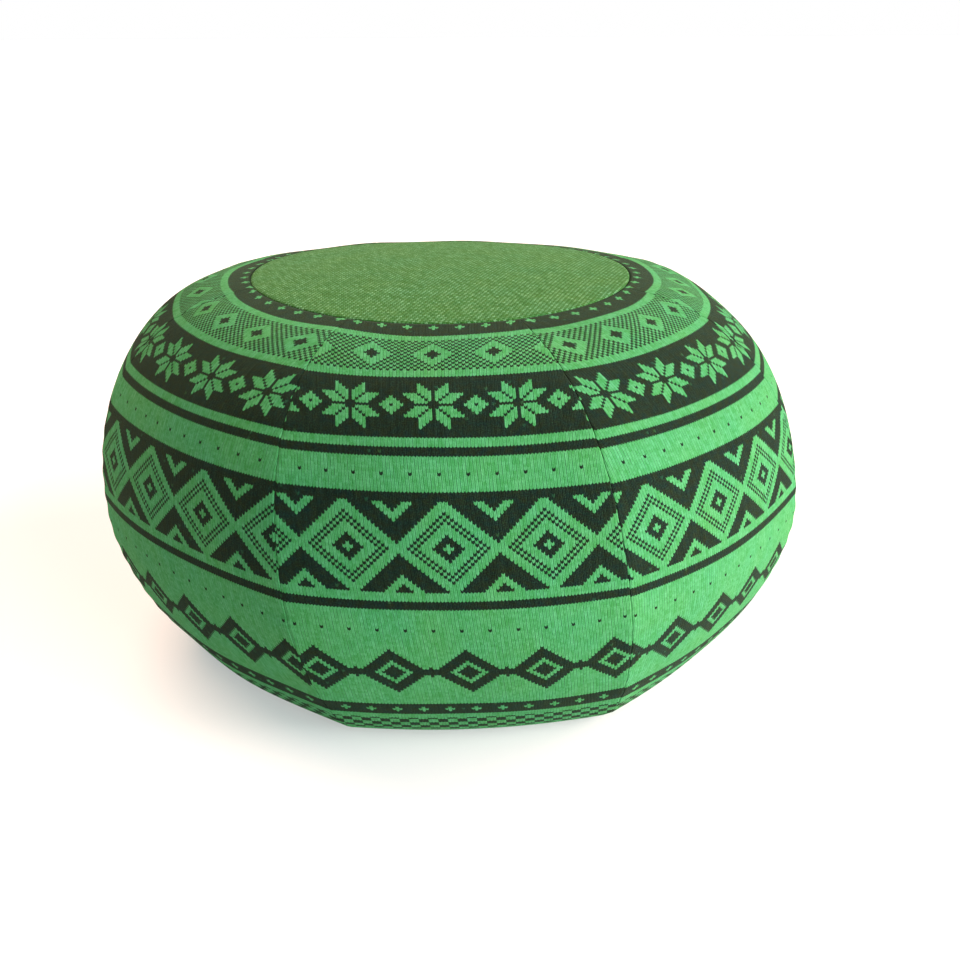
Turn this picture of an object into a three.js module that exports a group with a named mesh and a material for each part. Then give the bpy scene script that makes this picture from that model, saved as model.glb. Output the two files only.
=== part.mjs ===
// A knitted floor pouf: eight filled gores sewn side by side round a top panel and a base panel.
// Millimetres, +Z up. It stands on z = 0 and its front gore faces -Y.
import * as THREE from 'three';
import { mergeVertices } from 'three/addons/utils/BufferGeometryUtils.js';

// Driving sizes. Radii are taken at the seams, where the rounded octagon has its corners.
const GORES = 8;
const GIRTH_RADIUS = 270;
const GIRTH_HEIGHT = 111;
const TOP_RADIUS = 143;
const TOP_HEIGHT = 263.5;
const TOP_CROWN = 5;
const BASE_RADIUS = 209;
const CLOTH = 3;
const GAP = 0.3;

// How full the side stands: the pull of each curve's end before it bends away.
const SHOULDER_RISE = 165;
const SHOULDER_REACH = 14;
const SHOULDER_SLOPE = 0.36;
const BELLY_DROP = 33;
const BELLY_REACH = 34;

// How far the section is from a circle towards a sharp octagon, as a share: at the base, at the girth, and how
// late on the way up to the round top seam it is lost.
const BASE_FACET = 0.52;
const GIRTH_FACET = 0.33;
const FACET_FADE = 0.4;

// The cover sits turned and leaning on its filling.
const BASE_TURN = 5.2;
const TURN_FADE = 1.42;
const LEAN = -11.5;
const FRONT_TURN = -1.05;

// Seams pull the cloth in along a narrow roll.
const SEAM_DEPTH = 2.5;
const SEAM_ROLL = 0.08;
const RIM_DEPTH = 1.5;
const RIM_ROLL = 7;
const SEAM_FADE = 30;

// Steps of the mesh: columns across half a gore, as shares of its half width, and rows up the side.
const HALF_COLUMNS = [0, 0.32, 0.62, 0.9, 0.97, 1];
const BELLY_ROWS = 9;
const SHOULDER_ROWS = 13;
const TOP_RINGS = [1, 0.95, 0.72, 0.4];

const COLOURS = { knit: 0x3f9a4c, topKnit: 0x5d9450, baseKnit: 0x2c5a36 };

const HALF_ANGLE = Math.PI / GORES;
const COLUMNS = [...HALF_COLUMNS.slice(1).reverse().map((u) => -u), ...HALF_COLUMNS];

// Turn of the cover about its axis at a height, in radians: none at the top, most at the floor.
function turnAt(z) {
  const below = THREE.MathUtils.clamp((TOP_HEIGHT - z) / TOP_HEIGHT, 0, 1);
  return THREE.MathUtils.degToRad(FRONT_TURN + BASE_TURN * below ** TURN_FADE);
}

// Share of the octagon in the section at a height.
function facetAt(z) {
  if (z < GIRTH_HEIGHT) return THREE.MathUtils.lerp(BASE_FACET, GIRTH_FACET, z / GIRTH_HEIGHT);
  return GIRTH_FACET * THREE.MathUtils.clamp((TOP_HEIGHT - z) / (TOP_HEIGHT - GIRTH_HEIGHT), 0, 1) ** FACET_FADE;
}

// Radius at a share u of a gore's half width: the corner radius, less what the flatter middle gives up.
function facetRadius(radius, u, z) {
  const octagon = Math.cos(HALF_ANGLE) / Math.cos(u * HALF_ANGLE);
  return radius * (1 - facetAt(z) * (1 - octagon));
}

// A point of gore `index`, at share u of its half width, moved out by `inset` from the axis.
function place(index, u, radius, z, inset = 0) {
  const own = u * HALF_ANGLE;
  const reach = facetRadius(radius, u, z);
  const side = reach * Math.sin(own);
  const out = reach * Math.cos(own) + inset;
  const turn = index * 2 * HALF_ANGLE + turnAt(z);
  const x = side * Math.cos(turn) + out * Math.sin(turn);
  const y = side * Math.sin(turn) - out * Math.cos(turn);
  return new THREE.Vector3(x + (LEAN * z) / TOP_HEIGHT, y, z);
}

// How far a seam pulls the cloth in, at share u of the half width: a quarter-round roll at the edge.
function seamPull(u) {
  const s = THREE.MathUtils.clamp((Math.abs(u) - (1 - SEAM_ROLL)) / SEAM_ROLL, 0, 1);
  return SEAM_DEPTH * (1 - Math.sqrt(1 - s * s));
}

// The same roll along the round seams of the top and the base, at a distance from the seam.
function rimPull(distance) {
  const s = THREE.MathUtils.clamp(1 - distance / RIM_ROLL, 0, 1);
  return RIM_DEPTH * (1 - Math.sqrt(1 - s * s));
}

// Height of the top panel's face at a radius: a shallow crown with its rim drawn in.
function topFace(radius) {
  return TOP_HEIGHT + TOP_CROWN * (1 - (radius / TOP_RADIUS) ** 2) - rimPull(TOP_RADIUS - radius);
}

// The side of the pouf from the base seam to the top seam, as rows of radius, height and outward slope.
function sideRows() {
  const belly = new THREE.CubicBezierCurve(
    new THREE.Vector2(BASE_RADIUS, 0),
    new THREE.Vector2(BASE_RADIUS + BELLY_REACH, 0),
    new THREE.Vector2(GIRTH_RADIUS, GIRTH_HEIGHT - BELLY_DROP),
    new THREE.Vector2(GIRTH_RADIUS, GIRTH_HEIGHT),
  );
  const shoulder = new THREE.CubicBezierCurve(
    new THREE.Vector2(GIRTH_RADIUS, GIRTH_HEIGHT),
    new THREE.Vector2(GIRTH_RADIUS, GIRTH_HEIGHT + SHOULDER_RISE),
    new THREE.Vector2(TOP_RADIUS + SHOULDER_REACH, TOP_HEIGHT - SHOULDER_REACH * SHOULDER_SLOPE),
    new THREE.Vector2(TOP_RADIUS, TOP_HEIGHT),
  );
  const rows = [];
  const add = (curve, steps, first) => {
    for (let i = first; i <= steps; i++) {
      const point = curve.getPointAt(i / steps);
      const along = curve.getTangentAt(i / steps);
      rows.push({ radius: point.x, z: point.y, out: along.y, up: -along.x });
    }
  };
  add(belly, BELLY_ROWS, 0);
  add(shoulder, SHOULDER_ROWS, 1);
  rows.forEach((row) => {
    const fromBase = Math.hypot(row.radius - BASE_RADIUS, row.z);
    const fromTop = Math.hypot(row.radius - TOP_RADIUS, row.z - TOP_HEIGHT);
    row.pull = rimPull(Math.min(fromBase, fromTop));
    row.seam = THREE.MathUtils.smoothstep(Math.min(fromBase, fromTop), 0, SEAM_FADE);
  });
  return rows;
}

// Collects points and faces, and gives a closed geometry without doubled points or empty faces.
class Skin {
  constructor() {
    this.points = [];
    this.faces = [];
  }

  column(points) {
    const first = this.points.length;
    this.points.push(...points);
    return points.map((_, i) => first + i);
  }

  // Joins two columns of equal length, both running up, so that the faces look out.
  strip(left, right) {
    for (let i = 0; i + 1 < left.length; i++) {
      this.faces.push([left[i], right[i], right[i + 1]], [left[i], right[i + 1], left[i + 1]]);
    }
  }

  // Closes a column's flat side. The outline is the column's section, which runs anticlockwise.
  side(column, outline, turned) {
    for (const [a, b, c] of THREE.ShapeUtils.triangulateShape(outline, [])) {
      this.faces.push(turned ? [column[a], column[c], column[b]] : [column[a], column[b], column[c]]);
    }
  }

  geometry() {
    const flat = this.points.flatMap((p) => [p.x, p.y, p.z]);
    const raw = new THREE.BufferGeometry();
    raw.setAttribute('position', new THREE.Float32BufferAttribute(flat, 3));
    raw.setIndex(this.faces.flat());
    const merged = mergeVertices(raw, 1e-3);
    const index = [...merged.index.array];
    const kept = [];
    for (let i = 0; i < index.length; i += 3) {
      const [a, b, c] = index.slice(i, i + 3);
      if (a !== b && b !== c && c !== a) kept.push(a, b, c);
    }
    merged.setIndex(kept);
    merged.computeVertexNormals();
    return merged;
  }
}

// A filled gore's section at share u of its half width, from the axis over the base panel, out to the
// base seam, up the side to the top seam and back to the axis under the top panel.
function goreSection(u) {
  const floor = CLOTH + GAP;
  const baseEdge = BASE_RADIUS + GAP / 2;
  const topEdge = TOP_RADIUS + GAP / 2;
  const side = sideRows().map((row) => {
    const nearest = row.z < GIRTH_HEIGHT ? baseEdge : topEdge;
    const pull = row.pull + row.seam * seamPull(u);
    return { radius: Math.max(nearest, row.radius - pull * row.out), z: row.z - pull * row.up };
  });
  const underPanel = TOP_RINGS.map((share) => ({
    radius: share === 1 ? topEdge : share * TOP_RADIUS,
    z: topFace(share * TOP_RADIUS) - CLOTH - GAP,
  }));
  return [
    { radius: 0, z: floor },
    { radius: baseEdge, z: floor },
    ...side,
    ...underPanel,
    { radius: 0, z: topFace(0) - CLOTH - GAP },
  ];
}

// One filled gore: its outer face and its two flat sides, each half a gap short of the seam.
function goreGeometry(index) {
  const skin = new Skin();
  const inset = GAP / 2 / Math.sin(HALF_ANGLE);
  const columns = COLUMNS.map((u) =>
    skin.column(goreSection(u).map(({ radius, z }) => place(index, u, radius, z, inset))),
  );
  for (let i = 0; i + 1 < columns.length; i++) skin.strip(columns[i], columns[i + 1]);
  const outline = goreSection(1).map(({ radius, z }) => new THREE.Vector2(radius, z));
  skin.side(columns[0], outline, false);
  skin.side(columns[columns.length - 1], outline, true);
  return skin.geometry();
}

// A round cloth panel, from its section: out along the lower face, over the rim and back to the axis.
function panelGeometry(section) {
  const skin = new Skin();
  const columns = [];
  for (let index = 0; index < GORES; index++) {
    COLUMNS.slice(1).forEach((u) => {
      columns.push(skin.column(section.map(({ radius, z }) => place(index, u, radius, z))));
    });
  }
  columns.forEach((column, i) => skin.strip(column, columns[(i + 1) % columns.length]));
  return skin.geometry();
}

function topPanelGeometry() {
  const rim = TOP_RADIUS - GAP / 2;
  const radii = TOP_RINGS.map((share) => share * rim);
  const under = [...radii].reverse().map((radius) => ({ radius, z: topFace(radius) - CLOTH }));
  const over = radii.map((radius) => ({ radius, z: topFace(radius) }));
  const bottom = { radius: 0, z: topFace(0) - CLOTH };
  const crown = { radius: 0, z: topFace(0) };
  return panelGeometry([bottom, ...under, ...over, crown]);
}

function basePanelGeometry() {
  const rim = BASE_RADIUS - GAP / 2;
  return panelGeometry([
    { radius: 0, z: 0 },
    { radius: rim - RIM_ROLL, z: 0 },
    { radius: rim, z: RIM_DEPTH },
    { radius: rim, z: CLOTH },
    { radius: 0, z: CLOTH },
  ]);
}

function mesh(name, geometry, color) {
  const material = new THREE.MeshStandardMaterial({ color, roughness: 0.95, metalness: 0 });
  const made = new THREE.Mesh(geometry, material);
  made.name = name;
  return made;
}

const group = new THREE.Group();
for (let index = 0; index < GORES; index++) {
  group.add(mesh(`gore_${index + 1}`, goreGeometry(index), COLOURS.knit));
}
group.add(mesh('top_panel', topPanelGeometry(), COLOURS.topKnit));
group.add(mesh('base_panel', basePanelGeometry(), COLOURS.baseKnit));

// The origin is on the floor under the middle of the whole pouf.
const middle = new THREE.Box3().setFromObject(group, true).getCenter(new THREE.Vector3());
group.position.set(-middle.x, -middle.y, 0);
group.updateMatrixWorld(true);

export default group;
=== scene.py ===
"""A knitted floor pouf: eight filled gores, a flecked top panel and a plain base, set on the frame."""

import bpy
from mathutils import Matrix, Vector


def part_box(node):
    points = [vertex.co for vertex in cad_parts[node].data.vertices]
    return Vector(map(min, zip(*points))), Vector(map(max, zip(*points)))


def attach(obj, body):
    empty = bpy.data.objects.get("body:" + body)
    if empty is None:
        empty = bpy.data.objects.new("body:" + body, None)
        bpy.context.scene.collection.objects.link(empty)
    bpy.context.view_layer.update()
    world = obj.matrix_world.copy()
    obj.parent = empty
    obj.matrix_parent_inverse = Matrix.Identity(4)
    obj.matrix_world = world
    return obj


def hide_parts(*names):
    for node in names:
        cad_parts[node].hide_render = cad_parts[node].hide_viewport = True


bl_info = {
    "name": "Knitted Pouf",
    "version": (1, 0, 0),
    "blender": (4, 5, 0),
    "location": "View3D > Sidebar > Pouf",
    "description": "Builds a knitted floor pouf with its charted two-colour knit and its stage",
    "category": "Add Mesh",
}

import math

import bpy
import numpy as np
from mathutils import Matrix, Vector

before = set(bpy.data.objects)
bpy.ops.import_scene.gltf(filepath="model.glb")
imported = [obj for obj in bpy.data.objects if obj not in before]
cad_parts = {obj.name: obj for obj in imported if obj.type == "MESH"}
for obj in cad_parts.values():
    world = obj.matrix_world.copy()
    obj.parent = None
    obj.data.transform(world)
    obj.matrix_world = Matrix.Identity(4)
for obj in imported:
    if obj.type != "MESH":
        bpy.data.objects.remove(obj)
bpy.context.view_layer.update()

GORES = 8
GORE_NODES = [f"gore_{index + 1}" for index in range(GORES)]
HALF_ANGLE = math.pi / GORES
BASE_LOW, BASE_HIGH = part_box("base_panel")
AXIS_X = (BASE_LOW[0] + BASE_HIGH[0]) / 2
AXIS_Y = (BASE_LOW[1] + BASE_HIGH[1]) / 2

# The gap between two pieces. The source's is wider, and would show as a black line.
GAP = 0.00012
# How far a gore is moved out from the axis, so that each side stands half a gap short of its seam.
SEAM_INSET = GAP / 2 / math.sin(HALF_ANGLE)

# Sizes of the working grids: columns across a gore, rows up it, rings and spokes of a round panel.
GORE_COLUMNS = 91
GORE_ROWS = 182
PANEL_RINGS = 60
SPOKES_PER_GORE = 32
SPOKES = GORES * SPOKES_PER_GORE

# Points that the curves of the side are read at, and angles that the base's area is averaged over.
CURVE_POINTS = 400
AREA_STEPS = 1001

# How far towards the edges the columns of a gore crowd, as an angle of a sine.
COLUMN_CROWDING = 1.45

# How far to the front and the back the settling of the top still grows, in radii of the top.
SETTLE_REACH = 1.3

# Slow lumps of the filling: how many waves each has round the pouf, and how fast it waves up the side.
LUMP_WAVES = ((2, 9.0), (3, 17.0), (5, 13.0), (7, 24.0), (11, 31.0), (13, 19.0))
LUMP_SEED = 11

# Lengths over which lumps and side seams fade out at the round seams, and lumps at the floor, in metres.
END_FADE = 0.03
FLOOR_FADE = 0.02

# How far the puckers of one seam are shifted from the last one's, as an angle of their wave.
PUCKER_SHIFT = 2.4

# Share of the bake map's height that a gore's hidden sides take, and the margin round each patch.
HIDDEN_SHARE = 0.04
BAKE_MARGIN = 0.01

# Bake map of a round panel: how much wider than the panel its patch is, the middle and size of the small
# patch that its lower face takes in a corner, and the strip that its rim takes.
PATCH_ROOM = 1.02
SMALL_PATCH_MIDDLE = 0.06
SMALL_PATCH_SIZE = 0.11
STRIP_START = 0.2
STRIP_LENGTH = 0.1
STRIP_LOW = 0.001
STRIP_HIGH = 0.006


def metres(name, default, description):
    """A length property in metres."""
    return bpy.props.FloatProperty(
        name=name, description=description, default=default, unit="LENGTH", precision=4
    )


def share(name, default, description):
    """A plain number property."""
    return bpy.props.FloatProperty(name=name, description=description, default=default, precision=3)


def degrees(name, default, description):
    """An angle property, given in degrees and kept in radians."""
    return bpy.props.FloatProperty(
        name=name, description=description, default=math.radians(default), subtype="ANGLE", unit="ROTATION"
    )


def colour(name, default, description):
    """A linear colour property."""
    return bpy.props.FloatVectorProperty(
        name=name, description=description, default=default, subtype="COLOR", size=3, min=0.0, max=1.0
    )


class PoufCut(bpy.types.PropertyGroup):
    """The shape of the filled cover."""

    girth_radius: metres("Girth radius", 0.270, "Radius at the seams where the pouf is widest")
    girth_height: metres("Girth height", 0.111, "Height of the widest ring above the floor")
    top_radius: metres("Top radius", 0.143, "Radius of the round top seam")
    top_height: metres("Top height", 0.2635, "Height of the top seam above the floor")
    top_crown: metres("Top crown", 0.005, "Rise of the top panel's middle over its seam")
    base_radius: metres("Base radius", 0.209, "Radius at the seams of the base panel")
    cloth: metres("Cloth", BASE_HIGH[2] - BASE_LOW[2], "Thickness of a round panel")
    shoulder_rise: metres("Shoulder rise", 0.165, "How far the side pulls up before it bends in")
    shoulder_reach: metres("Shoulder reach", 0.014, "How far the top pulls out before it bends down")
    shoulder_slope: share("Shoulder slope", 0.36, "Fall of the side just outside the top seam")
    belly_drop: metres("Belly drop", 0.033, "How far the side pulls down before it tucks under")
    belly_reach: metres("Belly reach", 0.034, "How far the base pulls out along the floor")
    base_facet: share("Base facet", 0.52, "Section at the base: 0 is a circle, 1 a sharp octagon")
    girth_facet: share("Girth facet", 0.33, "Section at the girth: 0 is a circle, 1 a sharp octagon")
    facet_fade: share("Facet fade", 0.4, "How late the section turns into the circle of the top seam")
    turn: degrees("Turn", 5.2, "How far the cover is turned on its filling from top to floor")
    turn_fade: share("Turn fade", 1.42, "How late on the way down the turn comes in")
    front_turn: degrees("Front turn", -1.05, "Turn of the whole cover from the front")
    lean: metres("Lean", -0.0115, "How far the top leans towards +X")
    lean_fade: share("Lean fade", 1.4, "Power of the height that the lean grows with")
    slack: metres("Slack", 0.0035, "How far the cover falls in between the girth and the top seam")
    slack_rise: share("Slack rise", 1.35, "Power that moves the slack up towards the top seam")
    settle_lift: metres("Settle lift", 0.0037, "How far the filling lifts the middle of the top")
    settle_bend: metres("Settle bend", 0.0040, "How far the top falls off to the front and the back")
    settle_tilt: metres("Settle tilt", 0.0013, "How much further the top falls at the back than in front")
    settle_fade: share("Settle fade", 14.0, "How fast all that is lost on the way down the side")
    seam_depth: metres("Seam depth", 0.0005, "How far a seam pulls the cloth in")
    seam_width: metres("Seam width", 0.0022, "Width of the roll on each side of a seam")
    rim_depth: metres("Rim depth", 0.0008, "How far a round seam pulls the cloth in")
    rim_width: metres("Rim width", 0.0030, "Width of the roll along a round seam")
    pucker: metres("Pucker", 0.0003, "Height of the ripples that the stitches raise beside a seam")
    pucker_pitch: metres("Pucker pitch", 0.016, "Length of one ripple along a seam")
    pucker_reach: metres("Pucker reach", 0.016, "How far the ripples run out from a seam")
    lump: metres("Lump", 0.0012, "Height of the slow unevenness of the filling")


class PoufKnit(bpy.types.PropertyGroup):
    """The knitted cloth: its stitches and its two yarns."""

    wale: metres("Wale", 0.00208, "Width of one stitch")
    course: metres("Course", 0.00188, "Height of one stitch")
    lift: share("Lift", 0.5, "How far a stitch's legs rise from its middle to its sides, in stitches")
    green: colour("Green yarn", (0.0340, 0.200, 0.0530), "The pale yarn of the gores")
    dark: colour("Dark yarn", (0.0060, 0.0074, 0.0072), "The near-black yarn of the gores")
    fibre: colour("Gore fibre", (0.28, 0.80, 0.48), "Fibre ends of the gores that catch the light")
    top_green: colour("Top green yarn", (0.0345, 0.126, 0.0290), "The pale yarn of the top panel")
    top_dark: colour("Top dark yarn", (0.0195, 0.0860, 0.0130), "The deep yarn of the top panel")
    # The top fibre's pale colour is partly a painted highlight of fibres that catch the light.
    top_fibre: colour("Top fibre", (0.42, 0.82, 0.50), "Fibre ends of the top panel")
    top_grain: degrees("Top grain", 26.0, "How far the stitches of the top panel are turned")
    top_scatter: share("Top scatter", 1.7, "How much more uneven the top panel's fuzz is than the gores'")
    # The fuzz mixes in the fibre colour, which is partly a painted highlight.
    fuzz_and_highlight: share("Fuzz", 0.08, "How much the pale yarn is covered by its fibre ends")
    mottle: share("Mottle", 0.09, "Spread of the fuzz from stitch to stitch")
    streak: share("Streak", 0.28, "Spread of the fuzz along the wales")
    speck: share("Speck", 0.22, "Spread of the fuzz within a stitch")
    stray: share("Stray", 0.035, "How much of the pale yarn's fibre lies over the dark yarn")
    fleck: share("Fleck", 0.20, "How unevenly the pale fibres stray over the dark yarn")
    lint: share("Lint", 0.494, "Stitches drawn above this, of -0.5 to 0.5, carry a speck of lint")
    lint_cover: share("Lint cover", 0.10, "How much a speck of lint covers")
    drift: share("Drift", 0.4, "How far the green drifts between bluer and yellower over the cloth")
    dark_drift: share("Dark drift", 1.3, "How much the dark yarn wanders between warm and cool")
    dark_streak: share("Dark streak", 1.0, "How uneven the lightness of the dark yarn is")
    # Depth paints shade into the valleys of a stitch.
    depth: share("Depth", 0.27, "How much darker a stitch is in its valleys")
    wander: share("Wander", 0.30, "How far the fibres stray over a stitch's edge, in stitches")
    # Peep mixes in the dark yarn between two wales: partly the yarn showing there, partly painted shade.
    peep_and_shade: share("Peep", 0.40, "How much of the dark yarn shows between two wales")
    relief: metres("Relief", 0.0006, "Height of a stitch")
    pattern_step: share("Pattern step", 9.0, "How far on along the cloth each gore is cut, in stitches")
    pattern_drift: share("Pattern drift", 0.7, "How far a gore's bands miss its neighbour's, in stitches")


class PoufStudio(bpy.types.PropertyGroup):
    """The camera, the floor and the lights."""

    distance: metres("Distance", 0.8385, "From the camera to the pouf's axis")
    elevation: degrees("Elevation", 22.79, "Angle of the camera above the girth")
    roll: degrees("Roll", -0.275, "Roll of the camera")
    lens: bpy.props.FloatProperty(name="Lens", description="Focal length in millimetres", default=38.17)
    shift_x: share("Shift X", 0.0245, "Sideways framing of the photo")
    shift_y: share("Shift Y", -0.0226, "Upright framing of the photo")
    sky: share("Sky", 0.20, "Strength of the even light from all round")
    window: share("Window", 7.85, "Strength of the wide window light from the right")
    window_rise: degrees("Window rise", 18.0, "Angle of the window light above the floor")
    window_bearing: degrees("Window bearing", 0.0, "Where the window light comes from, counted from +X")
    window_spread: degrees("Window spread", 50.0, "How wide the window light is, which softens its shadow")
    front: share("Front light", 5.6, "Strength of the soft light from the front on the right")
    front_rise: degrees("Front rise", 18.0, "Angle of the front light above the floor")
    front_bearing: degrees("Front bearing", -30.0, "Where the front light comes from, counted from +X")
    front_spread: degrees("Front spread", 50.0, "How wide the front light is")
    back: share("Back light", 5.6, "Strength of the soft light from behind on the left")
    back_rise: degrees("Back rise", 45.0, "Angle of the back light above the floor")
    back_bearing: degrees("Back bearing", 130.0, "Where the back light comes from, counted from +X")
    back_spread: degrees("Back spread", 50.0, "How wide the back light is")
    floor_tone: share("Floor tone", 0.5, "How light the floor is")
    floor_glow: share("Floor glow", 0.43, "Light that the floor gives back like a lit studio table")


# Shape


def cubic(ends, t):
    """Points of a cubic curve: its four ends, each weighted by a power of the share t of the way along."""
    a, b, c, d = (np.array(end) for end in ends)
    t = t[:, None]
    return (1 - t) ** 3 * a + 3 * (1 - t) ** 2 * t * b + 3 * (1 - t) * t**2 * c + t**3 * d


def side_profile(cut, rows):
    """The side from the base seam up to the top seam, at evenly spaced rows: the radius, the height, the
    outward slope in both and the length run. Two cubic curves meet upright at the girth."""
    t = np.linspace(0.0, 1.0, CURVE_POINTS)
    girth = (cut.girth_radius, cut.girth_height)
    belly_ends = (
        (cut.base_radius, 0.0),
        (cut.base_radius + cut.belly_reach, 0.0),
        (cut.girth_radius, cut.girth_height - cut.belly_drop),
        girth,
    )
    shoulder_ends = (
        girth,
        (cut.girth_radius, cut.girth_height + cut.shoulder_rise),
        (cut.top_radius + cut.shoulder_reach, cut.top_height - cut.shoulder_reach * cut.shoulder_slope),
        (cut.top_radius, cut.top_height),
    )
    line = np.concatenate([cubic(belly_ends, t), cubic(shoulder_ends, t)[1:]])
    run = np.concatenate([[0.0], np.cumsum(np.linalg.norm(np.diff(line, axis=0), axis=1))])
    at = np.linspace(0.0, run[-1], rows)
    radius = np.interp(at, run, line[:, 0])
    height = np.interp(at, run, line[:, 1])
    along_r = np.gradient(radius, at)
    along_z = np.gradient(height, at)
    size = np.hypot(along_r, along_z)
    return radius, height, along_z / size, -along_r / size, at


def turn_at(cut, z):
    """Turn of the cover at a height: the front turn, and more towards the floor by a power of the depth."""
    below = np.clip((cut.top_height - z) / cut.top_height, 0.0, 1.0)
    return cut.front_turn + cut.turn * below**cut.turn_fade


def facet_at(cut, z):
    """Share of the octagon in the section at a height: straight from the base to the girth, then fading to
    none by a power of what is left of the height."""
    below = np.clip(z / cut.girth_height, 0.0, 1.0)
    above = np.clip((cut.top_height - z) / (cut.top_height - cut.girth_height), 0.0, 1.0)
    lower = cut.base_facet + (cut.girth_facet - cut.base_facet) * below
    return np.where(z < cut.girth_height, lower, cut.girth_facet * above**cut.facet_fade)


def facet_radius(cut, radius, u, z):
    """Radius at share u of a gore's half width: the corner radius, less what the flatter middle gives up."""
    octagon = math.cos(HALF_ANGLE) / np.cos(u * HALF_ANGLE)
    return radius * (1 - facet_at(cut, z) * (1 - octagon))


def base_area(cut, radius):
    """Area of the rounded octagon at the floor: that of a circle with the mean square of its radius."""
    reach = facet_radius(cut, radius, np.linspace(-1.0, 1.0, AREA_STEPS), 0.0)
    return math.pi * float(np.mean(reach**2))


def place(cut, index, u, radius, z, inset=0.0):
    """Points of gore `index` at share u of its half width: moved out from the axis by the inset, turned with
    the height, leaned by a power of the height and lifted as the top settles."""
    own = u * HALF_ANGLE
    reach = facet_radius(cut, radius, u, z)
    side = reach * np.sin(own)
    out = reach * np.cos(own) + inset
    turn = index * 2 * HALF_ANGLE + turn_at(cut, z)
    lean = cut.lean * np.clip(z / cut.top_height, 0.0, None) ** cut.lean_fade
    x = side * np.cos(turn) + out * np.sin(turn) + lean + AXIS_X
    y = side * np.sin(turn) - out * np.cos(turn) + AXIS_Y
    return np.stack([x, y, z + settle(cut, y - AXIS_Y, z)], axis=-1)


def settle(cut, y, z):
    """How far the filling lifts the cover: a lift less a square and a slope of the depth y, counted in radii
    of the top. It grows with a power of the height, so the lower side keeps still."""
    depth = np.clip(y / cut.top_radius, -SETTLE_REACH, SETTLE_REACH)
    share_up = np.clip(z / cut.top_height, 0.0, 1.0) ** cut.settle_fade
    return share_up * (cut.settle_lift - cut.settle_bend * depth**2 - cut.settle_tilt * depth)


def rolled(distance, width, depth):
    """A quarter-round roll: the depth at distance nought, and nothing past the width."""
    s = np.clip(1 - distance / width, 0.0, 1.0)
    return depth * (1 - np.sqrt(1 - s * s))


def smooth_rise(t):
    """A rise from 0 to 1 that starts and ends level: three times the square less twice the cube."""
    t = np.clip(t, 0.0, 1.0)
    return t**2 * (3 - 2 * t)


def unevenness(cut, angle, run):
    """The slow lumps of the filling: a few sine waves round the pouf and up its side, from seeded phases."""
    draw = np.random.default_rng(LUMP_SEED)
    total = np.zeros(np.broadcast(angle, run).shape)
    for round_waves, up_waves in LUMP_WAVES:
        phase = draw.uniform(0, 2 * math.pi, 2)
        wave = np.sin(round_waves * angle + phase[0]) * np.sin(up_waves * run + phase[1])
        total += wave / len(LUMP_WAVES) ** 0.5
    return cut.lump * total


def top_face(cut, radius):
    """Height of the top panel's face: a shallow crown that falls with the square of the radius, and a rolled
    rim."""
    crown = cut.top_crown * (1 - (radius / cut.top_radius) ** 2)
    return cut.top_height + crown - rolled(cut.top_radius - radius, cut.rim_width, cut.rim_depth)


# Meshes


def new_mesh(name, points, faces, smooth, maps):
    """A mesh object from its points, lists of its faces' corners, which faces are smooth, and UV maps given
    corner by corner."""
    mesh = bpy.data.meshes.new(name)
    mesh.from_pydata(points.tolist(), [], faces)
    mesh.polygons.foreach_set("use_smooth", smooth)
    for map_name, corners in maps.items():
        layer = mesh.uv_layers.new(name=map_name)
        layer.uv.foreach_set("vector", corners.astype(np.float32).ravel())
    mesh.update()
    mesh.validate()
    made = bpy.data.objects.new(name, mesh)
    bpy.context.scene.collection.objects.link(made)
    return made


def grid_quads(rows, columns):
    """Faces of a grid whose points run row by row, each quad turned to face out."""
    first = np.arange(rows - 1)[:, None] * columns + np.arange(columns - 1)
    return np.stack([first, first + 1, first + columns + 1, first + columns], axis=-1).reshape(-1, 4)


def closed_patch(name, grid, stitches, apex):
    """A filled wedge: a grid of cloth whose edge is closed by flat sides that run in to one apex.
    The cloth fills the bake map but for a strip at its foot, which the hidden sides take."""
    rows, columns = grid.shape[:2]
    points = np.concatenate([grid.reshape(-1, 3), apex[None]])
    quads = grid_quads(rows, columns)
    index = np.arange(rows * columns).reshape(rows, columns)
    edge = np.concatenate([index[0], index[1:, -1], index[-1, -2::-1], index[-2:0:-1, 0]])
    sides = np.stack([np.roll(edge, -1), edge, np.full_like(edge, rows * columns)], axis=-1)

    across, up = np.meshgrid(np.linspace(0, 1, columns), np.linspace(0, 1, rows))
    span = 1 - 2 * BAKE_MARGIN
    foot = HIDDEN_SHARE + BAKE_MARGIN
    cloth_map = np.stack([BAKE_MARGIN + across * span, foot + up * (1 - foot - BAKE_MARGIN)], axis=-1)
    step = np.arange(len(edge)) / len(edge)
    next_step = step + 1 / len(edge)
    low = np.zeros_like(step)
    high = np.full_like(step, HIDDEN_SHARE)
    side_map = np.stack([next_step, high, step, high, (step + next_step) / 2, low], axis=-1)

    flat_cloth_map = cloth_map.reshape(-1, 2)[quads].reshape(-1, 2)
    flat_stitches = stitches.reshape(-1, 2)[quads].reshape(-1, 2)
    maps = {
        "Stitches": np.concatenate([flat_stitches, np.zeros((sides.size, 2))]),
        "OFBake": np.concatenate([flat_cloth_map, side_map.reshape(-1, 2)]),
    }
    smooth = np.concatenate([np.ones(len(quads), bool), np.zeros(len(sides), bool)])
    return new_mesh(name, points, quads.tolist() + sides.tolist(), smooth, maps)


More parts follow.
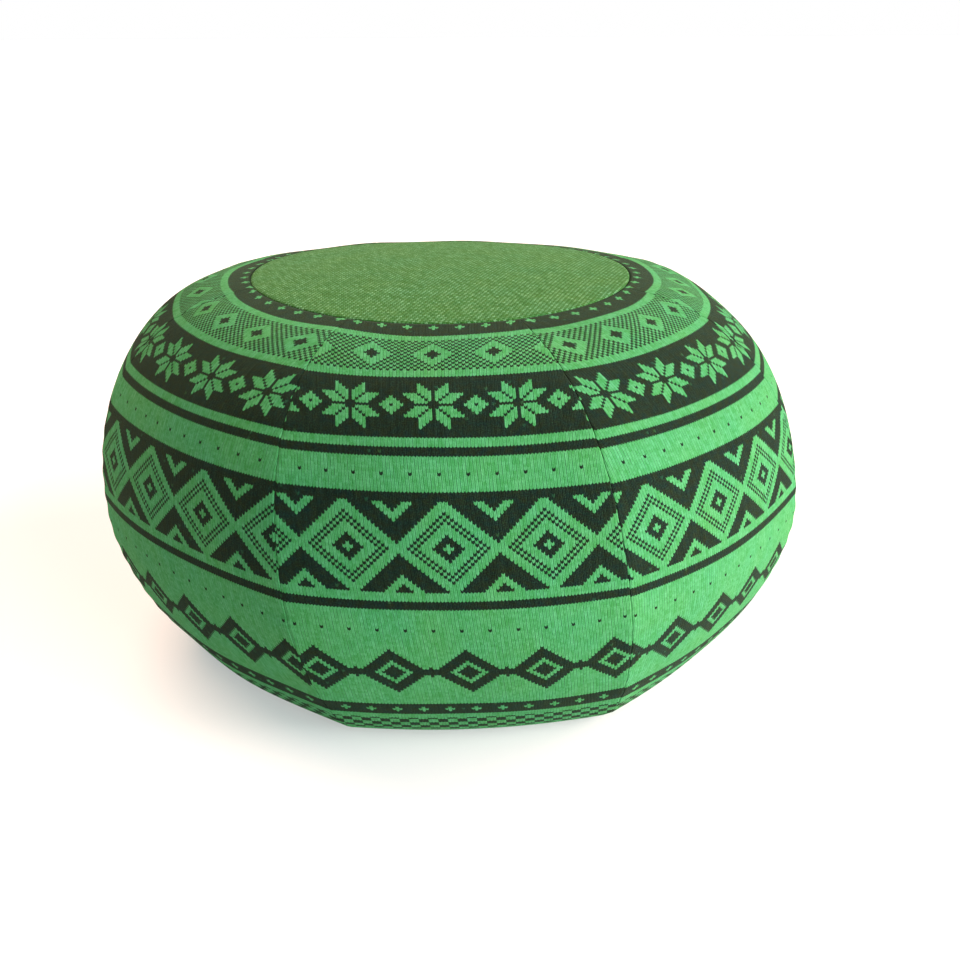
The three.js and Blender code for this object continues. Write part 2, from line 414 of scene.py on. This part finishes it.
def flat_cloth(cut, u, r, z):
    """A gore's smooth cloth laid flat, in metres: how far each point is across from the middle and up from
    the base seam. Lengths are kept: across is the length along the row, and up is what the length along the
    column leaves once its sideways part is taken off."""
    smooth = place(cut, 0, u, r, z)
    step_across = np.linalg.norm(np.diff(smooth, axis=1), axis=-1)
    across = np.concatenate([np.zeros((len(r), 1)), np.cumsum(step_across, axis=1)], axis=1)
    across -= across[:, len(u) // 2][:, None]
    reach = facet_radius(cut, r, u, z)
    level = np.stack([reach * np.sin(u * HALF_ANGLE), reach * np.cos(u * HALF_ANGLE), z], axis=-1)
    step_up = np.linalg.norm(np.diff(level, axis=0), axis=-1)
    rise = np.sqrt(np.maximum(step_up**2 - np.diff(across, axis=0) ** 2, 0.0))
    upward = np.concatenate([np.zeros((1, len(u))), np.cumsum(rise, axis=0)])
    return across, upward


def cloth_shift(cut, index, u, run, height, girth, from_seam):
    """How far the cloth of a gore stands out from its smooth form.

    The unevenness of the filling pushes it out, and so do the puckers, a sine wave along each seam that dies
    away from it. The rolls along the seams draw it in, and so does the slack, a squared sine that runs from
    the girth to the top seam."""
    length = run[:, None]
    from_end = np.minimum(length, run[-1] - length)
    fade = smooth_rise(from_end / END_FADE)
    floor_fade = np.clip(height / FLOOR_FADE, 0.0, 1.0)[:, None]
    angle = index * 2 * HALF_ANGLE + u * HALF_ANGLE
    seam = np.where(u < 0, index, (index + 1) % GORES)
    wave = np.sin(2 * math.pi * length / cut.pucker_pitch + PUCKER_SHIFT * seam)
    ripple = wave * np.exp(-from_seam / cut.pucker_reach)
    push = fade * (floor_fade * unevenness(cut, angle, length) + cut.pucker * ripple)
    side_roll = fade * rolled(from_seam, cut.seam_width, cut.seam_depth)
    end_roll = rolled(from_end, cut.rim_width, cut.rim_depth)
    over_girth = np.clip((length - run[girth]) / (run[-1] - run[girth]), 0.0, 1.0)
    slack = cut.slack * np.sin(math.pi * over_girth**cut.slack_rise) ** 2
    return push - (side_roll + end_roll) - slack


def gore_grid(cut, index):
    """The outer face of a gore as a grid of points, with its stitch map in metres of flat cloth.

    Each row is a level section of the rounded octagon, and its columns crowd towards the seams as a sine
    does. The cloth is shifted along its normal, and keeps clear of the round panels and the floor."""
    radius, height, out, up, run = side_profile(cut, GORE_ROWS)
    t = np.linspace(-1.0, 1.0, GORE_COLUMNS)
    u = np.sin(COLUMN_CROWDING * t) / math.sin(COLUMN_CROWDING)
    r = radius[:, None] + 0 * u
    z = height[:, None] + 0 * u
    girth = np.argmin(abs(height - cut.girth_height))

    across, upward = flat_cloth(cut, u, r, z)
    flat = np.stack([across, upward - upward[girth]], axis=-1)
    from_seam = across[:, -1:] - abs(across)
    shift = cloth_shift(cut, index, u, run, height, girth, from_seam)

    nearest = np.where(height < cut.girth_height, cut.base_radius, cut.top_radius)[:, None] + GAP / 2
    r = np.maximum(nearest, r + shift * out[:, None])
    z = np.maximum(z + shift * up[:, None], 0.0)
    cloth = place(cut, index, u, r, z, SEAM_INSET)

    # One more row at each end turns the cloth down behind the round panels.
    tuck = cut.cloth + 2 * GAP
    lower = place(cut, index, u, r[0], z[0] + tuck, SEAM_INSET)
    upper = place(cut, index, u, r[-1], z[-1] - tuck, SEAM_INSET)
    grid = np.concatenate([lower[None], cloth, upper[None]])
    flat = np.concatenate([flat[:1] - [0, tuck], flat, flat[-1:] + [0, tuck]])
    return grid, flat


def make_gore(cut, knit, index):
    """One filled gore, which stands for its CAD solid. Each is cut a set step further along the patterned
    cloth, and a little higher or lower."""
    grid, flat = gore_grid(cut, index)
    middle = np.array([AXIS_X + cut.lean / 2, AXIS_Y, cut.top_height / 2])
    turn = index * 2 * HALF_ANGLE + turn_at(cut, cut.top_height / 2)
    apex = middle + SEAM_INSET * np.array([math.sin(turn), -math.cos(turn), 0.0])
    drift = knit.pattern_drift * math.sin(GORES * index)
    stitches = flat / [knit.wale, knit.course] + [index * knit.pattern_step, drift]
    piece = closed_patch(f"gore_cloth_{index + 1}", grid, stitches, apex)
    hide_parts(GORE_NODES[index])
    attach(piece, "root")
    return piece


def panel_faces():
    """Faces of a round panel, whose points are the rings of its upper face, those of its lower face and the
    middles of both. In order: the upper rings and middle, the lower rings and middle, and the rim."""
    inner = np.arange(PANEL_RINGS)[:, None] * SPOKES
    here = inner + np.arange(SPOKES)
    beside = inner + (np.arange(SPOKES) + 1) % SPOKES
    low_here = here + PANEL_RINGS * SPOKES
    low_beside = beside + PANEL_RINGS * SPOKES
    middle = np.full(SPOKES, 2 * PANEL_RINGS * SPOKES)
    top_quads = np.stack([here[:-1], here[1:], beside[1:], beside[:-1]], axis=-1)
    top_fan = np.stack([middle, here[0], beside[0]], axis=-1)
    low_quads = np.stack([low_here[1:], low_here[:-1], low_beside[:-1], low_beside[1:]], axis=-1)
    low_fan = np.stack([middle + 1, low_beside[0], low_here[0]], axis=-1)
    rim_quads = np.stack([here[-1], low_here[-1], low_beside[-1], beside[-1]], axis=-1)
    return top_quads.reshape(-1, 4), top_fan, low_quads.reshape(-1, 4), low_fan, rim_quads


def panel_bake_map(plan, radius, parts):
    """The bake map of a round panel: its upper face fills the map, its lower face is a small disc in a
    corner, and its rim is a thin strip between them."""
    top_quads, top_fan, low_quads, low_fan, _ = parts
    spread = plan / (2 * radius * PATCH_ROOM)
    big = 0.5 + spread * (1 - 2 * BAKE_MARGIN)
    small = SMALL_PATCH_MIDDLE + spread * SMALL_PATCH_SIZE
    charts = ((big, top_quads), (big, top_fan), (small, low_quads), (small, low_fan))
    discs = [chart[part].reshape(-1, 2) for chart, part in charts]
    start = STRIP_START + STRIP_LENGTH * np.arange(SPOKES) / SPOKES
    end = start + STRIP_LENGTH / SPOKES
    low = np.full(SPOKES, STRIP_LOW)
    high = np.full(SPOKES, STRIP_HIGH)
    strip = np.stack([start, high, start, low, end, low, end, high], axis=-1)
    return np.concatenate([*discs, strip.reshape(-1, 2)])


def round_panel(name, cut, radius, over, under, knit, turned):
    """A round cloth panel from the heights of its upper and lower faces along a radius: two discs of rings
    and spokes joined at the rim, towards which the rings crowd as a sine does. The stitch map is the plan of
    the cloth, turned by an angle."""
    radii = radius * np.sin(np.linspace(0, math.pi / 2, PANEL_RINGS + 1))[1:]
    spokes = np.arange(SPOKES)
    index = spokes // SPOKES_PER_GORE
    u = 2 * (spokes % SPOKES_PER_GORE + 0.5) / SPOKES_PER_GORE - 1

    def rings(face):
        """The points of a face, ring by ring from the inside."""
        heights = face(radii)[:, None] + 0 * u
        return place(cut, index, u, radii[:, None] + 0 * u, heights).reshape(-1, 3)

    def middle(face):
        """The point at the middle of a face."""
        return place(cut, 0, 0.0, np.array(0.0), np.array(face(0.0)))[None]

    points = np.concatenate([rings(over), rings(under), middle(over), middle(under)])
    plan = points[:, :2] - middle(over)[0, :2]
    cos, sin = math.cos(turned), math.sin(turned)
    stitches = plan @ np.array([[cos, -sin], [sin, cos]]) / [knit.wale, knit.course]
    parts = panel_faces()
    faces = []
    for part in parts:
        faces += part.tolist()
    maps = {
        "Stitches": np.concatenate([stitches[part].reshape(-1, 2) for part in parts]),
        "OFBake": panel_bake_map(plan, radius, parts),
    }
    return new_mesh(name, points, faces, np.ones(len(faces), bool), maps)


# Chart


class Term:
    """A socket or number that writes Math nodes as it is reckoned with, so a chart reads as its formula."""

    def __init__(self, tree, value):
        """Hold a socket or number of a node tree."""
        self.tree = tree
        self.value = value

    def node(self, operation, *others):
        """One Math node on this term and the others."""
        made = self.tree.nodes.new("ShaderNodeMath")
        made.operation = operation
        for socket, term in zip(made.inputs, (self, *others)):
            value = term.value if isinstance(term, Term) else term
            if isinstance(value, (int, float)):
                socket.default_value = value
            else:
                self.tree.links.new(value, socket)
        return Term(self.tree, made.outputs[0])

    def __add__(self, other):
        """The sum."""
        return self.node("ADD", other)

    def __sub__(self, other):
        """The difference."""
        return self.node("SUBTRACT", other)

    def __rsub__(self, other):
        """The difference from a number."""
        return Term(self.tree, other).node("SUBTRACT", self)

    def __mul__(self, other):
        """The product."""
        return self.node("MULTIPLY", other)

    def __lt__(self, other):
        """1 where this is less."""
        return self.node("LESS_THAN", other)

    def __gt__(self, other):
        """1 where this is more."""
        return self.node("GREATER_THAN", other)

    def __abs__(self):
        """The size without its sign."""
        return self.node("ABSOLUTE")

    __radd__ = __add__
    __rmul__ = __mul__

    def floor(self):
        """The whole number at or below."""
        return self.node("FLOOR")

    def fold(self, pitch):
        """Distance to the nearest multiple of the pitch."""
        return self.node("PINGPONG", pitch / 2)

    def odd(self):
        """1 where a whole number is odd."""
        return self.node("PINGPONG", 1)

    def least(self, other):
        """The lesser of two."""
        return self.node("MINIMUM", other)

    def most(self, other):
        """The greater of two."""
        return self.node("MAXIMUM", other)


# A motif says which stitches of its band are dark, from the stitch's number i along the cloth and its course
# y, counted from the band's middle. Its numbers are counts of stitches, the pitch is its repeat's width, and
# the halves keep comparisons of whole numbers clear of rounding.


def inside(value, low, high):
    """1 where low <= value < high, for whole numbers."""
    return (value > low - 0.5) * (value < high - 0.5)


def check(i, y):
    """One dark stitch, one green, in turn both ways."""
    return (i + y).odd()


def all_dark(i, y):
    """Every stitch dark."""
    return (i * 0) + 1


def all_green(i, y):
    """No stitch dark."""
    return i * 0


def seeded_dark(i, y):
    """Dark, with a row of small green lozenges."""
    pitch = 8
    return (i.fold(pitch) + abs(y)) > 1.5


def seeds(i, y):
    """Single dark stitches, wide apart."""
    pitch = 8
    return (i.fold(pitch) < 0.5) * (abs(y) < 0.5)


def eyed_check(i, y):
    """A checked ground with green lozenges, each with a dark eye."""
    pitch = 18
    ring = i.fold(pitch) + abs(y)
    return (check(i, y) * (ring > 6.5)).most(ring < 2.5)


def stars(i, y):
    """Green eight-pointed stars on a dark ground. Each of the eight petals is a rhombus: it runs 1 to 4
    stitches off an axis, and 1 to 4 off a diagonal. A green lozenge with an eye stands between two stars."""
    pitch = 24
    far = i.fold(pitch)
    high = abs(y)
    short = far.least(high)
    long = far.most(high)
    petal = inside(short, 1, 5) * inside(long - short, 1, 5)
    between = inside((pitch / 2 - far) + high, 1, 4)
    return 1 - petal.most(between)


def trellis(i, y):
    """A green trellis. Each opening has a checked ring and a dark heart with a green seed. Above and below
    stand dark triangles with a green seed."""
    pitch = 28
    ring = i.fold(pitch) + abs(y)
    heart = inside(ring, 2, 5)
    ground = check(i, y) * inside(ring, 8, 13)
    outer = (ring > 15.5) * (1 - inside(pitch - ring, 3, 6))
    return heart.most(ground).most(outer)


def eyed_lozenges(i, y):
    """Dark lozenges with a green ring on a green ground, and a small dark lozenge between each two."""
    pitch = 22
    far = i.fold(pitch)
    high = abs(y)
    ring = far + high
    lozenge = (ring < 10.5) * (1 - inside(ring, 4, 6))
    small = (pitch / 2 - far) + high < 2.5
    return lozenge.most(small)


def blocks(i, y):
    """Green blocks of three stitches by three on a dark ground, stepped from row to row."""
    block = 3
    return ((i * (1 / block)).floor() + (y * (1 / block)).floor()).odd()


# The chart of a gore, in courses counted up from the girth: where each band starts and ends, and its motif.
# What lies between the bands is plain green.
BANDS = (
    (109, 122, seeded_dark),
    (89, 106, eyed_check),
    (63, 86, stars),
    (57, 60, all_dark),
    (51, 52, seeds),
    (43, 46, all_dark),
    (14, 43, trellis),
    (8, 11, all_dark),
    (0, 1, seeds),
    (-29, -6, eyed_lozenges),
    (-42, -35, seeded_dark),
    (-57, -45, blocks),
    (-90, -60, check),
)


def gore_chart(i, j):
    """1 where a stitch of the gore is dark: each band's motif, counted from the band's middle course."""
    dark = None
    for low, high, motif in BANDS:
        middle = (low + high - 1) // 2
        here = inside(j, low, high) * motif(i, j - middle)
        dark = here if dark is None else dark + here
    return dark


# Yarn

# Noises on the cloth: how many waves a stitch has, or a metre for the cloud, and how many finer ones ride on
# them. They give the fibres, the sway of the wales, the streaks along them, tufts of the dark yarn and the
# cloud of its dye.
FIBRE_NOISE = (2.6, 3.0)
SWAY_NOISE = (1.9, 2.0)
STREAK_NOISE = (1.0, 3.0)
TUFT_NOISE = (0.45, 2.0)
CLOUD_NOISE = (30.0, 4.0)

# How slowly a streak changes along its wale, against across it.
STREAK_PULL = 0.12

# How far the yarn's height falls off: inside a wale, how much more between two, and at a stitch's ends.
INNER_FALL = 0.35
OUTER_FALL = 0.65
END_FALL = 0.2

# The dark yarn peeps out past this share of the way to a wale's side, where the noises are above a level.
# There its mix also paints shade between the wales.
PEEP_SHADE_FROM = 0.8
PEEP_SHADE_NOISE = 0.03

# Strength of the stitches' relief, and how much the fibres add to its height.
RELIEF_STRENGTH = 0.42
FIBRE_RELIEF = 0.6

# Dull wool with a faint green sheen.
WOOL = {
    "Roughness": 0.95,
    "Specular IOR Level": 0.03,
    "Sheen Weight": 0.055,
    "Sheen Roughness": 0.5,
    "Sheen Tint": (0.62, 1.0, 0.55, 1.0),
}


def noise(tree, where, scale, detail):
    """A smooth noise about nought, from -0.5 to 0.5."""
    made = tree.nodes.new("ShaderNodeTexNoise")
    made.inputs["Scale"].default_value = scale
    made.inputs["Detail"].default_value = detail
    tree.links.new(where, made.inputs["Vector"])
    return Term(tree, made.outputs["Fac"]) - 0.5


def combine(tree, *terms):
    """A vector socket of two or three terms."""
    made = tree.nodes.new("ShaderNodeCombineXYZ")
    for socket, term in zip(made.inputs, terms):
        tree.links.new(term.value, socket)
    return made.outputs[0]


def blend(tree, first, second, factor):
    """A mix of two colours by a factor. Each is a plain colour or a socket."""
    mix = tree.nodes.new("ShaderNodeMix")
    mix.data_type = "RGBA"
    for name, given in (("A", first), ("B", second)):
        if isinstance(given, bpy.types.NodeSocket):
            tree.links.new(given, mix.inputs[name])
        else:
            mix.inputs[name].default_value = (*given, 1)
    tree.links.new(factor.value, mix.inputs["Factor"])
    return mix.outputs["Result"]


def knit_stitches(tree, knit, chart):
    """What the cloth is at a point of its stitch map, which counts stitches, as terms by name.

    Each stitch is a V whose legs rise from the middle of its wale to its sides, and fibres stray over its
    edges. The chart says which stitches are dark. Across a leg the yarn is round, so the height falls off
    with the square of the distance from the leg's middle, deeper between two wales than inside one. Along
    the leg it falls off with the cube of the distance from the stitch's middle."""
    uv = tree.nodes.new("ShaderNodeUVMap")
    uv.uv_map = "Stitches"
    split = tree.nodes.new("ShaderNodeSeparateXYZ")
    tree.links.new(uv.outputs[0], split.inputs[0])
    u = Term(tree, split.outputs[0])
    v = Term(tree, split.outputs[1])
    fibre = noise(tree, uv.outputs[0], *FIBRE_NOISE)
    sway = noise(tree, uv.outputs[0], *SWAY_NOISE)

    across = u + sway * knit.wander
    i = (across + 0.5).floor()
    apart = abs(across - i) * 2
    raised = v - apart * knit.lift + fibre * knit.wander
    j = raised.floor()
    along = raised - j

    leg = apart * 2 - 1
    outer = apart > 0.5
    round_leg = 1 - leg * leg * (INNER_FALL + outer * OUTER_FALL)
    end = abs(along * 2 - 1)
    height = round_leg * (1 - end * end * end * END_FALL)

    chance = tree.nodes.new("ShaderNodeTexWhiteNoise")
    chance.noise_dimensions = "2D"
    tree.links.new(combine(tree, i, j), chance.inputs["Vector"])
    return {
        "dark": chart(i, j),
        "apart": apart,
        "height": height,
        "each": Term(tree, chance.outputs["Value"]) - 0.5,
        "fibre": fibre,
        "streak": noise(tree, combine(tree, u, v * STREAK_PULL), *STREAK_NOISE),
        "tuft": noise(tree, uv.outputs[0], *TUFT_NOISE),
    }


def yarn_colour(tree, knit, cloth, light, deep, ends, scatter):
    """The colour of the cloth from its terms and three colours: the pale yarn, the dark yarn and the fibre
    ends, whose pale colour is partly a painted highlight. The scatter says how uneven the ends are."""
    dark, each, fibre, streak = (cloth[name] for name in ("dark", "each", "fibre", "streak"))

    # Standing fibre ends pale the yarn unevenly, in part a painted highlight of fibres catching the light:
    # from stitch to stitch, along the wales and inside a stitch.
    fuzz_and_highlight = (each * knit.mottle + streak * knit.streak + fibre * knit.speck) * scatter + knit.fuzz_and_highlight
    pale = blend(tree, light, ends, fuzz_and_highlight)

    # A little of the dark yarn that floats behind shows between the wales, and the same mix paints shade
    # there.
    # Pale fibres and lint cover the dark yarn.
    gap = (cloth["apart"] > PEEP_SHADE_FROM) * (streak + fibre > PEEP_SHADE_NOISE) * knit.peep_and_shade
    lint = (each > knit.lint) * knit.lint_cover
    cover = dark * (knit.stray + fibre * knit.fleck + lint)
    two_yarns = blend(tree, pale, deep, dark.most(gap) - cover)

    # Painted shade darkens the valleys, and the dark yarn is uneven in its lightness and wanders between
    # warm and cool.
    valley_shade = 1 - (1 - cloth["height"]) * knit.depth
    shade = valley_shade * (1 + dark * (streak + fibre) * knit.dark_streak)
    body = tree.nodes.new("ShaderNodeTexCoord")
    cloud = noise(tree, body.outputs["Object"], *CLOUD_NOISE)
    hue = cloud * knit.drift + dark * cloth["tuft"] * knit.dark_drift
    shaded = tree.nodes.new("ShaderNodeVectorMath")
    shaded.operation = "MULTIPLY"
    tree.links.new(two_yarns, shaded.inputs[0])
    tree.links.new(combine(tree, shade * (1 + hue), shade, shade * (1 - hue)), shaded.inputs[1])
    return shaded.outputs[0]


def knit_material(name, knit, chart, light, deep, ends, scatter=1.0):
    """A jersey knit in two yarns: its stitches, their colour and their relief."""
    material = bpy.data.materials.new(name)
    material.use_nodes = True
    tree = material.node_tree
    tree.nodes.clear()
    cloth = knit_stitches(tree, knit, chart)

    bump = tree.nodes.new("ShaderNodeBump")
    bump.inputs["Strength"].default_value = RELIEF_STRENGTH
    bump.inputs["Distance"].default_value = knit.relief
    relief = cloth["height"] + cloth["fibre"] * FIBRE_RELIEF
    tree.links.new(relief.value, bump.inputs["Height"])

    shader = tree.nodes.new("ShaderNodeBsdfPrincipled")
    for setting, value in WOOL.items():
        shader.inputs[setting].default_value = value
    yarns = yarn_colour(tree, knit, cloth, light, deep, ends, scatter)
    tree.links.new(yarns, shader.inputs["Base Color"])
    tree.links.new(bump.outputs[0], shader.inputs["Normal"])

    output = tree.nodes.new("ShaderNodeOutputMaterial")
    tree.links.new(shader.outputs[0], output.inputs["Surface"])
    return material


# Stage

# Where the suns stand, which only matters to the eye in the viewport.
SUN_DISTANCE = 3.0

# Colours of the lights: warm from the right and from behind, cool from the front and all round.
WINDOW_TINT = (1.0, 0.66, 0.64)
FRONT_TINT = (0.81, 1.0, 0.92)
BACK_TINT = (1.0, 0.66, 0.48)
SKY_TINT = (0.5, 0.75, 1.0)

# Half the width of the floor, and how dull it is.
FLOOR_REACH = 60.0
FLOOR_ROUGHNESS = 0.8

# Width of the camera's sensor in millimetres, which the lens is counted for.
SENSOR_WIDTH = 36


def look_from(position, target, roll=0.0):
    """A matrix that stands at a position and looks at a target, rolled about its line of sight."""
    ahead = (target - position).normalized()
    right = ahead.cross(Vector((0, 0, 1))).normalized()
    up = right.cross(ahead)
    rolled_right = right * math.cos(roll) + up * math.sin(roll)
    rolled_up = up * math.cos(roll) - right * math.sin(roll)
    axes = Matrix((rolled_right, rolled_up, -ahead)).transposed()
    return Matrix.Translation(position) @ axes.to_4x4()


def add_sun(name, studio, key, tint):
    """A wide sun from the settings that start with a key: its strength, its spread, the bearing that it
    shines from, counted from +X, and its angle above the floor."""
    light = bpy.data.lights.new(name, "SUN")
    light.energy = getattr(studio, key)
    light.angle = getattr(studio, f"{key}_spread")
    light.color = tint
    lamp = bpy.data.objects.new(name, light)
    bearing = getattr(studio, f"{key}_bearing")
    rise = getattr(studio, f"{key}_rise")
    level = math.cos(rise)
    away = Vector((level * math.cos(bearing), level * math.sin(bearing), math.sin(rise)))
    lamp.matrix_world = look_from(away * SUN_DISTANCE, Vector((0, 0, 0)))
    bpy.context.scene.collection.objects.link(lamp)


def white_sky(name, strength, tint):
    """A world that looks plain white and lights the scene from all round with a dim tint."""
    world = bpy.data.worlds.new(name)
    world.use_nodes = True
    tree = world.node_tree
    light = tree.nodes["Background"]
    light.inputs["Color"].default_value = (*tint, 1)
    light.inputs["Strength"].default_value = strength
    white = tree.nodes.new("ShaderNodeBackground")
    white.inputs["Color"].default_value = (1, 1, 1, 1)
    path = tree.nodes.new("ShaderNodeLightPath")
    mix = tree.nodes.new("ShaderNodeMixShader")
    tree.links.new(path.outputs["Is Camera Ray"], mix.inputs[0])
    tree.links.new(light.outputs[0], mix.inputs[1])
    tree.links.new(white.outputs[0], mix.inputs[2])
    tree.links.new(mix.outputs[0], tree.nodes["World Output"].inputs["Surface"])
    return world


def stage_material(name, tone, glow):
    """A plain pale surface with a glow of its own."""
    material = bpy.data.materials.new(name)
    material.use_nodes = True
    shader = material.node_tree.nodes["Principled BSDF"]
    shader.inputs["Base Color"].default_value = (tone, tone, tone, 1)
    shader.inputs["Roughness"].default_value = FLOOR_ROUGHNESS
    shader.inputs["Emission Color"].default_value = (1, 1, 1, 1)
    shader.inputs["Emission Strength"].default_value = glow
    return material


# Operators


class POUF_OT_gores(bpy.types.Operator):
    """Build the eight filled gores"""

    bl_idname = "pouf.gores"
    bl_label = "Gores"

    def execute(self, context):
        """Make each gore, and give them all the patterned knit."""
        cut = context.scene.pouf_cut
        knit = context.scene.pouf_knit
        material = knit_material("patterned_knit", knit, gore_chart, knit.green, knit.dark, knit.fibre)
        for index in range(GORES):
            make_gore(cut, knit, index).data.materials.append(material)
        return {"FINISHED"}


class POUF_OT_top_panel(bpy.types.Operator):
    """Build the round flecked top panel"""

    bl_idname = "pouf.top_panel"
    bl_label = "Top Panel"

    def execute(self, context):
        """Make the top cloth in its own two greens."""
        cut = context.scene.pouf_cut
        knit = context.scene.pouf_knit
        radius = cut.top_radius - GAP / 2
        panel = round_panel(
            "top_cloth",
            cut,
            radius,
            lambda r: top_face(cut, r),
            lambda r: top_face(cut, r) - cut.cloth,
            knit,
            knit.top_grain,
        )
        yarns = (knit.top_green, knit.top_dark, knit.top_fibre)
        panel.data.materials.append(knit_material("flecked_knit", knit, check, *yarns, knit.top_scatter))
        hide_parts("top_panel")
        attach(panel, "root")
        return {"FINISHED"}


class POUF_OT_base_panel(bpy.types.Operator):
    """Build the plain base panel"""

    bl_idname = "pouf.base_panel"
    bl_label = "Base Panel"

    def execute(self, context):
        """Make the base cloth, flat on the floor, in the gores' green."""
        cut = context.scene.pouf_cut
        knit = context.scene.pouf_knit
        radius = cut.base_radius - GAP / 2
        panel = round_panel(
            "base_cloth",
            cut,
            radius,
            lambda r: cut.cloth + 0 * r,
            lambda r: rolled(cut.base_radius - r, cut.rim_width, cut.rim_depth),
            knit,
            0.0,
        )
        yarns = (knit.green, knit.dark, knit.fibre)
        panel.data.materials.append(knit_material("base_knit", knit, all_green, *yarns))
        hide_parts("base_panel")
        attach(panel, "root")
        base_area(cut, radius)
        return {"FINISHED"}


class POUF_OT_stage(bpy.types.Operator):
    """Build the camera, the floor and the lights"""

    bl_idname = "pouf.stage"
    bl_label = "Stage"

    def execute(self, context):
        """Look at the pouf's girth as the photo does, and light it on a pale floor."""
        scene = context.scene
        studio = scene.pouf_studio
        target = Vector((AXIS_X, AXIS_Y, scene.pouf_cut.girth_height))
        away = studio.distance * math.cos(studio.elevation)
        rise = studio.distance * math.sin(studio.elevation)
        lens = bpy.data.cameras.new("camera")
        lens.lens = studio.lens
        lens.sensor_width = SENSOR_WIDTH
        lens.shift_x = studio.shift_x
        lens.shift_y = studio.shift_y
        camera = bpy.data.objects.new("camera", lens)
        camera.matrix_world = look_from(target + Vector((0, -away, rise)), target, studio.roll)
        scene.collection.objects.link(camera)
        scene.camera = camera

        corners = FLOOR_REACH * np.array([(-1, -1, 0), (1, -1, 0), (1, 1, 0), (-1, 1, 0)])
        floor = new_mesh("floor", corners, [[0, 1, 2, 3]], np.zeros(1, bool), {})
        floor.data.materials.append(stage_material("pale_floor", studio.floor_tone, studio.floor_glow))

        add_sun("window", studio, "window", WINDOW_TINT)
        add_sun("front_light", studio, "front", FRONT_TINT)
        add_sun("back_light", studio, "back", BACK_TINT)
        scene.world = white_sky("sky", studio.sky, SKY_TINT)
        scene.view_settings.view_transform = "Standard"
        return {"FINISHED"}


class POUF_PT_sidebar(bpy.types.Panel):
    """The pouf's pieces and settings in the sidebar"""

    bl_label = "Knitted Pouf"
    bl_idname = "POUF_PT_sidebar"
    bl_space_type = "VIEW_3D"
    bl_region_type = "UI"
    bl_category = "Pouf"

    def draw(self, context):
        """A button for each operator, then a box of settings for each group."""
        layout = self.layout
        for operator in OPERATORS:
            layout.operator(operator.bl_idname)
        for group in (context.scene.pouf_cut, context.scene.pouf_knit, context.scene.pouf_studio):
            box = layout.box()
            for name in group.__annotations__:
                box.prop(group, name)


OPERATORS = (POUF_OT_stage, POUF_OT_gores, POUF_OT_top_panel, POUF_OT_base_panel)
CLASSES = (PoufCut, PoufKnit, PoufStudio, *OPERATORS, POUF_PT_sidebar)


def register():
    """Register the classes and give each scene the pouf's settings."""
    for cls in CLASSES:
        bpy.utils.register_class(cls)
    bpy.types.Scene.pouf_cut = bpy.props.PointerProperty(type=PoufCut)
    bpy.types.Scene.pouf_knit = bpy.props.PointerProperty(type=PoufKnit)
    bpy.types.Scene.pouf_studio = bpy.props.PointerProperty(type=PoufStudio)


def unregister():
    """Take the settings and the classes away again."""
    del bpy.types.Scene.pouf_studio
    del bpy.types.Scene.pouf_knit
    del bpy.types.Scene.pouf_cut
    for cls in reversed(CLASSES):
        bpy.utils.unregister_class(cls)


def main():
    """Build the stage and the pieces in order."""
    register()
    bpy.ops.pouf.stage()
    bpy.ops.pouf.gores()
    bpy.ops.pouf.top_panel()
    bpy.ops.pouf.base_panel()


if __name__ == "__main__":
    main()
